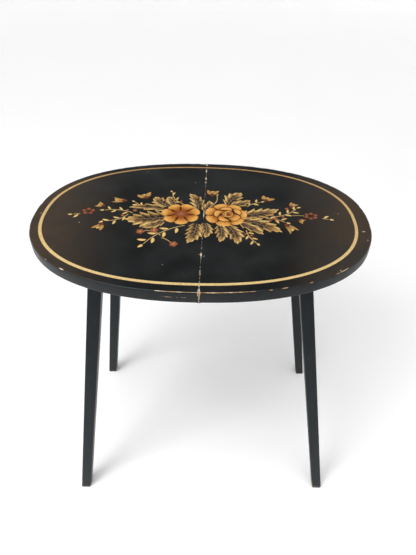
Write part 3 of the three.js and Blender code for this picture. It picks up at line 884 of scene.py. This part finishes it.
def paint_wear(p):
    """Chips in the lacquer: place, length, width and direction in degrees."""
    chips = (
        (247, -33, 6, 1.8, 5), (248, -56, 3, 1.0, 80), (216, 16, 1.8, 1.4, 0), (-188, -25, 2.2, 1.3, 20),
        (-252, -2, 3, 1.0, 60), (132, -43, 1.5, 1.0, 0), (193, -129, 4, 0.9, 40), (-105, 144, 1.8, 0.8, 90),
        (-18, 107, 1.5, 1.0, 0), (4, -103, 2.2, 0.9, 30), (-3, -99, 1.3, 0.9, 0), (-52, -124, 1.8, 0.9, 70),
    )
    for x, y, length, width, turn in chips:
        p.fleck(x, y, length, width, math.radians(turn))


def painted_decoration():
    """A free spray in the stencilled manner: two flowers beside the seam, with leaves all round."""
    p = Painting()
    paint_leaves(p)
    paint_twigs(p)
    paint_buds(p)
    p.open_bloom((-36, 8), 30, 7)
    p.rose((35, 8), 33)
    bmesh.ops.translate(p.bm, verts=p.bm.verts, vec=(0, SPRAY_FORWARD, 0))
    p.stripe()
    paint_wear(p)
    for side in SIDES:
        p.cut_for(side)
    p.bm.free()


# ---- Legs -------------------------------------------------------------------------------

LEG_TOP_SIDE, LEG_FOOT_SIDE = 21 * MM, 18.5 * MM
LEG_AXIS_Y = 91 * MM
LEG_ABOVE_AXIS = 7 * MM
LEG_ROUND = 2.2 * MM
HEAD_CHAMFER, FOOT_CHAMFER = 0.8 * MM, 0.7 * MM
FOOT_CHAMFER_HEIGHT = 2.2 * MM
FOOT_CUT = 4 * MM  # sections this near the foot lie level, like the floor
LEG_SECTIONS = 15
CORNER_WEAR, FACE_WEAR, FOOT_WEAR = 0.26, 0.05, 0.30


def rounded_square(side, radius, steps=5):
    """Points round a square, each with whether it lies in the middle of a corner."""
    half = side / 2 - radius
    points = []
    for quarter in range(4):
        start = quarter * math.pi / 2
        middle = Vector((half, half))
        middle.rotate(Matrix.Rotation(start, 2))
        for i in range(steps):
            turn = start + math.pi / 2 * i / (steps - 1)
            points.append((middle + heading(turn) * radius, i == steps // 2))
    return points


def leg_stations(span):
    """How far down from the hinge each section of a leg lies."""
    stations = [-LEG_ABOVE_AXIS, -LEG_ABOVE_AXIS + HEAD_CHAMFER]
    stations += [span * (0.02 + 0.96 * i / (LEG_SECTIONS - 1)) for i in range(LEG_SECTIONS)]
    return stations + [span - 3 * MM, span]


def leg(side, end):
    """A tapered leg with eased corners, cut level at the floor and worn there."""
    head = leg_hinge(side)
    head.y = ENDS[end] * LEG_AXIS_Y
    foot = foot_place(side, end)
    along = (foot - head).normalized()
    span = (foot - head).length
    across = Vector((0, 1, 0)).cross(along).normalized()
    depth = along.cross(across)
    rng = random.Random(f"{side}{end}")
    bm = bmesh.new()
    wear = bm.verts.layers.float.new("wear")
    rings = []
    stations = leg_stations(span)
    for station in stations:
        size = LEG_TOP_SIDE + (LEG_FOOT_SIDE - LEG_TOP_SIDE) * station / span
        if station == stations[0]:
            size -= 2 * HEAD_CHAMFER
        if station == span:
            size -= 2 * FOOT_CHAMFER
        low = smoothstep(station / span, 0.93, 1.0)
        ring = []
        for point, is_corner in rounded_square(size, LEG_ROUND):
            place = head + along * station + across * point.x + depth * point.y
            if station > span - FOOT_CUT:
                height = 0.0 if station == span else FOOT_CHAMFER_HEIGHT
                place += along * (height - place.z) / along.z
            vert = bm.verts.new(place)
            worn = CORNER_WEAR if is_corner else FACE_WEAR
            vert[wear] = worn + rng.uniform(-0.05, 0.12) + FOOT_WEAR * low
            ring.append(vert)
        rings.append(ring)
    close_tube(bm, rings)
    obj = make_object(f"tapered_leg_{side}_{end}", bm, leg_lacquer, f"legs_{side}")
    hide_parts(f"leg_{side}_{end}")


# ---- Rails, brackets, pins and screws ---------------------------------------------------

EASED = {
    "under_lacquer": 0.8 * MM, "dowel_wood": 0.4 * MM, "zinc_steel": 0.35 * MM, "brassed_steel": 0.35 * MM,
}
EASED_ANGLE = math.radians(35)
SCREW_HEAD, SCREW_SHANK, SCREW_LENGTH = 3.2 * MM, 1.6 * MM, 12 * MM
HEAD_HEIGHT, SLOT_HALF, SLOT_DEPTH = 1.8 * MM, 0.4 * MM, 0.9 * MM
SLOT_ABOVE = -0.3 * MM  # the slot is cut in what lies above this, towards the head
THREADS, THREAD_PITCH, THREAD_ROOT = 12, 0.8 * MM, 0.72
SCREW_SIDES = 24


def dress_node(node, slot, material):
    """Gives a CAD piece its finish, and eases its sharp edges."""
    obj = bpy.data.objects[node]
    obj.data.materials.clear()
    obj.data.materials.append(material)
    ease = obj.modifiers.new("eased", "BEVEL")
    ease.width = EASED[slot]
    ease.segments = 2
    ease.limit_method = "ANGLE"
    ease.angle_limit = EASED_ANGLE
    ease.harden_normals = True


def screw_axis(node):
    """Which way a screw points, from its head to its tip."""
    if not node.startswith("lug"):
        return Vector((0, 0, 1))
    side = "left" if "left" in node else "right"
    run = foot_place(side, "front") - leg_hinge(side)
    run.y = 0
    run.normalize()
    return Vector((run.z, 0, -run.x)) * -SIDES[side]


def screw_profile():
    """A domed head, then a shank with a ridged thread: radii and places along the screw."""
    dome = [(0.12 * i, 1 - (0.12 * i) ** 2.4) for i in range(9)]
    profile = [(SCREW_HEAD * radius, -HEAD_HEIGHT * height) for radius, height in dome]
    profile += [(SCREW_HEAD, -0.1 * MM), (SCREW_HEAD * 0.98, 0.0), (SCREW_SHANK, 0.0)]
    for i in range(THREADS):
        crest = 1.0 * MM + THREAD_PITCH * i
        profile += [(SCREW_SHANK, crest), (SCREW_SHANK * THREAD_ROOT, crest + THREAD_PITCH / 2)]
    return profile + [(0.0, SCREW_LENGTH)]


def screw(node, body):
    """A round-head wood screw with a slot, in place of the plain CAD one."""
    low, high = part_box(node)
    axis = screw_axis(node)
    turn = axis.to_track_quat("Z", "Y").to_matrix().to_4x4()
    spin = Matrix.Rotation(random.Random(node).uniform(0, math.pi), 4, "Z")
    start = (low + high) / 2 - axis * (SCREW_LENGTH - HEAD_HEIGHT) / 2
    bm = bmesh.new()
    rings = []
    for radius, z in screw_profile():
        ring = []
        for i in range(SCREW_SIDES):
            a = 2 * math.pi * i / SCREW_SIDES
            x, y = radius * math.cos(a), radius * math.sin(a)
            in_slot = abs(y) < SLOT_HALF and z < SLOT_ABOVE
            ring.append(bm.verts.new((x, y, z + (SLOT_DEPTH if in_slot else 0.0))))
        rings.append(ring)
    bridge_all(bm, rings)
    bmesh.ops.remove_doubles(bm, verts=bm.verts, dist=1e-6)
    bmesh.ops.recalc_face_normals(bm, faces=bm.faces)
    bmesh.ops.transform(bm, matrix=Matrix.Translation(start) @ turn @ spin, verts=bm.verts)
    obj = make_object(f"slotted_{node}", bm, zinc, body)
    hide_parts(node)


def dress_hardware():
    """Finishes for everything under the top, and a slotted screw for each plain one."""
    finishes = {
        "under_lacquer": dark_wood, "dowel_wood": dowel_wood, "zinc_steel": zinc, "brassed_steel": brassed,
    }
    bodies = frame["record"]["behaviour"]["bodies"]
    body_of = {node: body for body, nodes in bodies.items() for node in nodes}
    for part in frame["record"]["subparts"]:
        node, slot = part["node"], part["material_slot"]
        if "screw" in node:
            screw(node, body_of[node])
        elif slot in finishes:
            dress_node(node, slot, finishes[slot])


# ---- Camera, light and floor ------------------------------------------------------------

CAMERA_PLACE = Vector((0.0245, -0.6283, 0.9696))
CAMERA_YAW, CAMERA_PITCH, CAMERA_ROLL = 0.0431, 0.6992, 0.0469
CAMERA_LENS, CAMERA_SENSOR = 30.5, 36
CAMERA_SHIFT = -0.046
FLOOR_GLOW = 0.12  # a lit paper floor, so the shadows stay light
SWEEP_RADIUS, SWEEP_BEND = 7.0, 1.6
SWEEP_HEIGHT, SWEEP_RISE = 2.9, 2.4  # behind the table, and how much higher it is elsewhere
SWEEP_SIDES = 96
ROOM_FRONT, ROOM_BACK = (-0.4, 0.8), (0.6, 0.09)  # direction along Y, and the light from there
SUN_STRENGTH, SUN_SPREAD, SUN_PITCH, SUN_YAW = 2.3, 60, 20, -18
KEY_PLACE, KEY_AIM = Vector((-1.0, -1.0, 2.0)), Vector((0, 0, 0.3))
KEY_SIZE, KEY_POWER = 1.0, 22


def make_camera():
    """The camera stands before the table, a little above it, and looks down at the top."""
    forward = Vector((
        math.sin(CAMERA_YAW) * math.cos(CAMERA_PITCH),
        math.cos(CAMERA_YAW) * math.cos(CAMERA_PITCH),
        -math.sin(CAMERA_PITCH),
    ))
    level = Vector((math.cos(CAMERA_YAW), -math.sin(CAMERA_YAW), 0))
    lift = level.cross(forward)
    right = level * math.cos(CAMERA_ROLL) + lift * math.sin(CAMERA_ROLL)
    up = -level * math.sin(CAMERA_ROLL) + lift * math.cos(CAMERA_ROLL)
    camera = bpy.data.objects.new("camera", bpy.data.cameras.new("camera"))
    camera.data.lens = CAMERA_LENS
    camera.data.sensor_width = CAMERA_SENSOR
    camera.data.shift_x = CAMERA_SHIFT
    turn = Matrix((right, up, -forward)).transposed().to_4x4()
    camera.matrix_world = Matrix.Translation(CAMERA_PLACE) @ turn
    bpy.context.scene.collection.objects.link(camera)
    bpy.context.scene.camera = camera


def make_key():
    """A round soft lamp from the front left."""
    light = bpy.data.lights.new("key", "AREA")
    light.shape = "DISK"
    light.size = KEY_SIZE
    light.energy = KEY_POWER
    obj = bpy.data.objects.new("key", light)
    obj.location = KEY_PLACE
    obj.rotation_mode = "QUATERNION"
    obj.rotation_quaternion = (KEY_AIM - KEY_PLACE).to_track_quat("-Z", "Y")
    bpy.context.scene.collection.objects.link(obj)


def make_sun():
    """A very wide wash of light from above, which gives the faint shadows on the floor."""
    sun = bpy.data.lights.new("wash", "SUN")
    sun.energy = SUN_STRENGTH
    sun.angle = math.radians(SUN_SPREAD)
    obj = bpy.data.objects.new("wash", sun)
    obj.rotation_euler = (math.radians(SUN_PITCH), 0, math.radians(SUN_YAW))
    bpy.context.scene.collection.objects.link(obj)


def make_world():
    """A dim grey room, darkest behind the table, so that the top reflects black."""
    world = bpy.data.worlds.new("studio")
    world.use_nodes = True
    tree = world.node_tree
    place = tree.nodes.new("ShaderNodeTexCoord")
    split = tree.nodes.new("ShaderNodeSeparateXYZ")
    fade = tree.nodes.new("ShaderNodeMapRange")
    tree.links.new(place.outputs["Generated"], split.inputs["Vector"])
    tree.links.new(split.outputs["Y"], fade.inputs["Value"])
    for socket, (at, light) in (("Min", ROOM_FRONT), ("Max", ROOM_BACK)):
        fade.inputs[f"From {socket}"].default_value = at
        fade.inputs[f"To {socket}"].default_value = light
    tree.links.new(fade.outputs["Result"], tree.nodes["Background"].inputs["Strength"])
    bpy.context.scene.world = world


def paper_sweep(material):
    """The floor, turned up all round into a pale wall. It is lower behind, where the top reflects."""
    bends = [math.pi / 2 * i / 16 for i in range(17)]
    profile = [(0.0, 0.0), (SWEEP_RADIUS / 2, 0.0)]
    profile += [(SWEEP_RADIUS + SWEEP_BEND * math.sin(a), SWEEP_BEND * (1 - math.cos(a))) for a in bends]
    turns = [2 * math.pi * i / SWEEP_SIDES for i in range(SWEEP_SIDES)]
    wall = SWEEP_RADIUS + SWEEP_BEND
    bm = bmesh.new()
    rings = []
    for radius, z in profile:
        rings.append([bm.verts.new((radius * math.cos(a), radius * math.sin(a), z)) for a in turns])
    brim = []
    for a in turns:
        height = SWEEP_HEIGHT + SWEEP_RISE * (1 - smoothstep(math.sin(a), 0.1, 0.7))
        brim.append(bm.verts.new((wall * math.cos(a), wall * math.sin(a), height)))
    rings.append(brim)
    bridge_all(bm, rings)
    bmesh.ops.remove_doubles(bm, verts=bm.verts, dist=1e-6)
    return make_object("floor", bm, material, None)


def make_studio():
    """A matt paper floor that glows a little, in soft light."""
    s = Shader("floor_paper")
    tone = s.mix(s.ramp(s.noise(3, 3), 0.3, 0.7), (0.93, 0.93, 0.93), (0.95, 0.95, 0.95))
    s.finish(tone, 0.9)
    s.surface.inputs["Emission Color"].default_value = (1, 1, 1, 1)
    s.surface.inputs["Emission Strength"].default_value = FLOOR_GLOW
    paper_sweep(s.material)
    make_world()
    make_sun()
    make_key()
    bpy.context.scene.view_settings.view_transform = "Standard"


# ---- Build ------------------------------------------------------------------------------

make_camera()
make_studio()
top_lacquer = lacquer("top_lacquer", BLACK, BROWN_END_SHEEN, sheen_from=0.11, sheen_to=0.25, wear_level=0.62)
leg_lacquer = lacquer("leg_lacquer", BLUE_BLACK, BLUE_BLACK, sheen_from=0.1, sheen_to=0.3, wear_level=0.72)
dark_wood = stained_wood()
dowel_wood = bare_wood()
zinc = plated(
    "zinc_steel", bright=(0.60, 0.60, 0.58), dull=(0.36, 0.36, 0.35), spot=(0.16, 0.11, 0.07),
)
brassed = plated(
    "brassed_steel", bright=(0.66, 0.48, 0.22), dull=(0.36, 0.25, 0.12), spot=(0.09, 0.06, 0.03),
)
paint_finish = paint()

for side in SIDES:
    leaf_board(side)
    for end in ENDS:
        leg(side, end)
painted_decoration()
dress_hardware()
